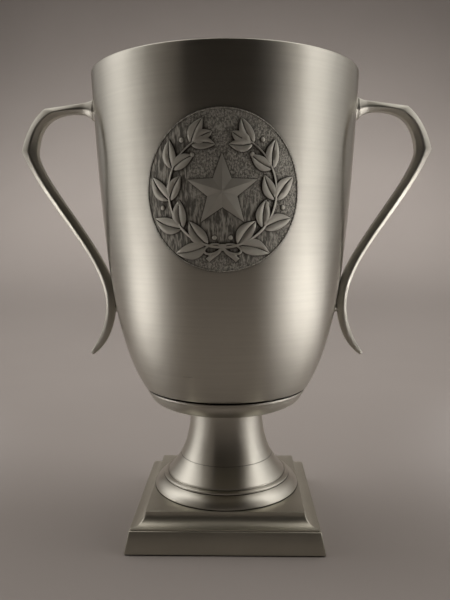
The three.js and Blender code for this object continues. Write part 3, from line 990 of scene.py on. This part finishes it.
def square_ring(half, z, corner, side_steps=8):
    """A rounded square of points, anticlockwise from above."""
    points = []
    corner_steps = 5
    straight = half - corner
    for quarter in range(4):
        turn = Matrix.Rotation(math.radians(90 * quarter), 2)
        flat = [Vector((half, straight * (2 * k / side_steps - 1))) for k in range(side_steps)]
        middle = Vector((straight, straight))
        bend = []
        for k in range(corner_steps):
            angle = math.radians(90 * k / corner_steps)
            bend.append(middle + corner * Vector((math.cos(angle), math.sin(angle))))
        for point in flat + bend:
            spun = turn @ point
            points.append((spun.x, spun.y, z))
    return points


def round_ring(radius, z, like):
    """A round ring whose points lie in the same directions as those of another ring."""
    ring = []
    for point in like:
        way = Vector(point[:2]).normalized()
        ring.append((radius * way.x, radius * way.y, z))
    return ring


def make_plinth():
    """A hollow square casting: a drafted block, a small ledge, and a mitred cove to the top."""
    foot, top = PLINTH_LOW.z / MM, PLINTH_HIGH.z / MM
    cove = bezier_run([(59.7, 15.7), (51.9, 15.9), (51.4, top - 0.5)], 16)
    skirt = filleted([
        (60.9, foot), (63.5, foot, 0.45), (60.6, 14.7, 0.55), (59.75, 14.7, 0.12), cove[0],
    ], closed=False)
    brim = filleted([cove[-1], (51.35, top, 0.45), (40, top)], closed=False)
    ceiling, corner = 21.1, 0.8 * MM
    inside = [(48.8, ceiling), (48.8, 15.5), (58, 12.1)]
    outside = in_metres(skirt + cove[1:-1] + brim)
    sections = [square_ring(half, z, corner) for half, z in outside]
    for z in (top * MM, ceiling * MM):
        sections.append(round_ring(ROD_HOLE_RADIUS * MM, z, sections[0]))
    sections += [square_ring(half, z, corner) for half, z in in_metres(inside)]
    casting = looped("plinth_casting", sections, PLINTH_METAL)
    finish_piece(casting, "cast_pewter", "plinth_shell")


def make_felt():
    """The felt pad under the board: a thin sheet with a soft, slightly uneven edge."""
    half, low, high = FELT_HIGH.x, FELT_LOW.z, FELT_HIGH.z
    rings = [
        (0.985, low), (0.997, low + 0.05 * MM), (1, low + 0.35 * MM),
        (1, high - 0.35 * MM), (0.996, high - 0.05 * MM), (0.985, high),
    ]
    sections = [square_ring(half * share, z, 1.6 * MM, side_steps=40) for share, z in rings]
    for section in sections:
        for i, (x, y, z) in enumerate(section):
            fray = 1 - 0.0022 * (0.5 + 0.5 * math.sin(7.3 * i + 900 * z) * math.cos(2.9 * i))
            section[i] = (x * fray, y * fray, z)
    pad = skinned("felt_pad", sections, FELT)
    finish_piece(pad, "wool_felt", "base_felt")


make_plinth()
make_felt()

# ---- the tie rod and its fastenings ----

ROD_LOW, ROD_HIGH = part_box("tie_rod")
NUT_LOW, NUT_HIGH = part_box("tie_nut")
LOCK_LOW, LOCK_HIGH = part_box("lock_washer")
WASHER_LOW, WASHER_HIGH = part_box("clamp_washer")
THREAD_PITCH = 1 * MM


def make_rod():
    """A threaded rod: its radius follows a helix, and fades to a chamfer at both ends."""
    radius = ROD_HIGH.x
    depth = 0.5 * MM
    around, per_turn = 20, 5
    rows = round((ROD_HIGH.z - ROD_LOW.z) / THREAD_PITCH * per_turn)
    sections = []
    for r in range(rows + 1):
        z = ROD_LOW.z + (ROD_HIGH.z - ROD_LOW.z) * r / rows
        end_room = min(z - ROD_LOW.z, ROD_HIGH.z - z)
        ring = []
        for k in range(around):
            phase = (z / THREAD_PITCH - k / around) % 1
            groove = depth * max(0.0, 1 - abs(2 * phase - 1) * 1.25)
            here = min(radius - groove, radius - depth + end_room)
            ring.append(polar(here, 360 * k / around, z))
        sections.append(ring)
    rod = skinned("threaded_rod", sections, STEEL, sharp_degrees=50)
    finish_piece(rod, "zinc_steel", "tie_rod")


def hex_radius(degrees, across_flats):
    """The distance from the middle of a hexagon to its edge in one direction."""
    return across_flats / 2 / math.cos(math.radians((degrees % 60) - 30))


def make_nut():
    """A hexagon nut with its corners turned off at both faces and a countersunk bore."""
    low, high = NUT_LOW.z, NUT_HIGH.z
    flats = NUT_HIGH.y - NUT_LOW.y
    turned_off = flats / 2 * 1.02
    bore = 3.3 * MM
    levels = [
        (low, turned_off), (low + 0.35 * MM, flats * 0.56), (low + 0.9 * MM, flats),
        (high - 0.9 * MM, flats), (high - 0.35 * MM, flats * 0.56), (high, turned_off),
    ]
    sections = []
    for z, limit in levels:
        ring = []
        for degrees in range(0, 360, 6):
            ring.append(polar(min(hex_radius(degrees, flats), limit), degrees, z))
        sections.append(ring)
    for radius, z in ((bore + 0.4 * MM, high), (bore, high - 0.4 * MM),
                      (bore, low + 0.4 * MM), (bore + 0.4 * MM, low)):
        sections.append(round_ring(radius, z, sections[0]))
    nut = looped("hex_nut", sections, STEEL, sharp_degrees=25)
    finish_piece(nut, "zinc_steel", "tie_nut")


def make_plain_washer():
    """A large flat washer with worn edges."""
    bore, edge = ROD_HOLE_RADIUS * MM, WASHER_HIGH.x
    low, high = WASHER_LOW.z, WASHER_HIGH.z
    outline = filleted([
        (bore, low, 0.15 * MM), (edge, low, 0.35 * MM), (edge, high, 0.35 * MM),
        (bore, high, 0.15 * MM),
    ], closed=True)
    plain = turned("plain_washer", outline, 96, STEEL)
    finish_piece(plain, "zinc_steel", "clamp_washer")


def make_lock_washer():
    """A split washer of nearly square wire, whose two ends stand apart."""
    bore, radius = ROD_HOLE_RADIUS * MM, LOCK_HIGH.x
    middle = (bore + radius) / 2
    wide, thick = (radius - bore) / 2, 0.45 * MM
    end_gap, steps = 16, 72
    sections = []
    for i in range(steps + 1):
        share = i / steps
        angle = end_gap / 2 + (360 - end_gap) * share
        z = LOCK_LOW.z + thick + (LOCK_HIGH.z - LOCK_LOW.z - 2 * thick) * share
        ring = []
        for k in range(12):
            turn = 2 * math.pi * k / 12
            square = 1 / max(abs(math.cos(turn)), abs(math.sin(turn))) ** 0.75
            out = middle + wide * 0.97 * math.cos(turn) * min(square, 1.25)
            lift = thick * 0.97 * math.sin(turn) * min(square, 1.25)
            ring.append(polar(out, angle, z + lift))
        sections.append(ring[::-1])
    split = skinned("split_washer", sections, STEEL)
    finish_piece(split, "zinc_steel", "lock_washer")


make_rod()
make_nut()
make_plain_washer()
make_lock_washer()

for node, material in (("cup_boss", CAST), ("plinth_weight", IRON), ("base_board", BOARD)):
    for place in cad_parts[node].material_slots:
        place.material = material

# ---- the floor, the lights and the camera ----


def make_stage():
    """A pale floor that curves up behind the trophy into a narrower wall."""
    floor_half_width, wall_half_width, front = 3.0, 1.05, -1.0
    bend_start, bend_radius, height = 0.5, 1.2, 2.8
    bend_steps, narrowing_steps = 32, 6
    outline = [(floor_half_width, front, 0), (floor_half_width, front / 2, 0)]
    outline.append((floor_half_width, 0, 0))
    for i in range(bend_steps + 1):
        turn = math.radians(90 * i / bend_steps)
        narrowing = max(0.0, 1 - i / narrowing_steps) ** 2
        half_width = wall_half_width + (floor_half_width - wall_half_width) * narrowing
        y = bend_start + bend_radius * math.sin(turn)
        outline.append((half_width, y, bend_radius * (1 - math.cos(turn))))
    outline.append((wall_half_width, bend_start + bend_radius, height))
    rows = []
    for half_width, y, z in outline:
        rows.append([(half_width * side, y, z) for side in (1, 0.5, 0, -0.5, -1)])
    vertices, faces = grid_patch(rows)
    sweep = make_object("backdrop_sweep", vertices, faces, backdrop_paper("backdrop_paper"))


WARM_LIGHT = (1.0, 0.97, 0.95)
COOL_LIGHT = (0.9, 0.96, 1.03)


def softbox(name, place, target, size, power, spread, colour):
    """A rectangular soft light that faces a point and isn't itself seen."""
    data = bpy.data.lights.new(name, "AREA")
    data.shape = "RECTANGLE"
    data.size, data.size_y = size
    data.energy = power
    data.spread = math.radians(spread)
    data.color = colour
    light = bpy.data.objects.new(name, data)
    light.location = place
    aim = Vector(target) - Vector(place)
    light.rotation_euler = aim.to_track_quat("-Z", "Y").to_euler()
    light.visible_camera = False
    bpy.context.scene.collection.objects.link(light)


# The room's brightness round the trophy, as (degrees from the front to the right, level). Two
# broad soft lights stand at its sides. It is darkest in front, where the photographer stands.
ROOM = [
    (-180, 0.2), (-150, 0.28), (-125, 0.8), (-106, 1.75), (-93, 1.8), (-80, 0.85), (-66, 0.28),
    (-48, 0.16), (-38, 0.11), (-32, 0.002), (31, 0.002), (42, 0.04), (53, 0.18), (65, 0.58),
    (77, 1.8), (89, 1.7), (105, 1.1), (130, 0.5), (180, 0.2),
]
CEILING = (0.1, 0.085, 0.065)


def room_colour(level):
    """The room's light at one level: nearly neutral where it is bright, warmer where it is dim."""
    share = min(1.0, level)
    return (level, level * (0.88 + 0.09 * share), level * (0.77 + 0.18 * share))


def make_world():
    """The room round the trophy: its level goes with the direction, and it brightens upwards.

    A faint ceiling fills the dark parts overhead.
    """
    world = bpy.data.worlds.new("studio")
    world.use_nodes = True
    bpy.context.scene.world = world
    room = Nodes(world.node_tree)
    direction = room.node("ShaderNodeSeparateXYZ")
    room.join(room.node("ShaderNodeTexCoord").outputs["Generated"], direction.inputs["Vector"])
    right, back, up = (direction.outputs[axis] for axis in "XYZ")
    turn = room.math("ARCTAN2", right, room.math("MULTIPLY", back, -1))
    stops = [(degrees / 360 + 0.5, room_colour(level)) for degrees, level in ROOM]
    walls = room.ramp(room.spread(turn, 0, 1, (-math.pi, math.pi)), stops)
    colour = room.mix(room.spread(up, 0, 1, (0.7, 0.9)), walls, CEILING, "LIGHTEN")
    background = room.tree.nodes["Background"]
    room.join(colour, background.inputs["Color"])
    room.join(room.spread(up, 0.5, 1.25, (0, 0.9)), background.inputs["Strength"])


def make_lights():
    """Two pools of light on the floor, which the metal mirrors, and two lights for the backdrop."""
    softbox("pool_left", (-0.66, -0.1, 0.48), (-0.66, -0.1, 0), (0.38, 0.38), 6.4, 68, COOL_LIGHT)
    softbox("pool_right", (0.64, -0.15, 0.48), (0.64, -0.15, 0), (0.38, 0.6), 11.0, 70, COOL_LIGHT)
    softbox("light_top", (0, 0.55, 1.2), (0, 0.6, 0), (1.4, 0.6), 2.1, 95, WARM_LIGHT)
    softbox("light_wall", (0, 0.7, 0.7), (0, 1.65, 0.35), (1.6, 0.3), 3.6, 110, WARM_LIGHT)


def make_camera():
    """The photograph's viewpoint: above the cup's middle, close in, tilted a little down."""
    around, distance, height = math.radians(1.2), 0.4317, 0.1998
    heading, pitch, roll = math.radians(-1.28), math.radians(5.96), math.radians(-0.23)
    data = bpy.data.cameras.new("camera")
    data.sensor_width = 36
    data.lens = 37.16
    data.clip_start = 0.01
    ahead = Vector((
        math.sin(heading) * math.cos(pitch), math.cos(heading) * math.cos(pitch), -math.sin(pitch),
    ))
    right = ahead.cross(Vector((0, 0, 1))).normalized()
    up = right.cross(ahead)
    tilted_right = right * math.cos(roll) + up * math.sin(roll)
    tilted_up = up * math.cos(roll) - right * math.sin(roll)
    camera = bpy.data.objects.new("camera", data)
    turn = Matrix((tilted_right, tilted_up, -ahead)).transposed()
    place = (distance * math.sin(around), -distance * math.cos(around), height)
    camera.matrix_world = Matrix.LocRotScale(Vector(place), turn.to_quaternion(), None)
    bpy.context.scene.collection.objects.link(camera)
    bpy.context.scene.camera = camera


make_stage()
make_lights()
make_world()
make_camera()
bpy.context.scene.view_settings.view_transform = "Standard"
bpy.context.scene.view_settings.look = "None"
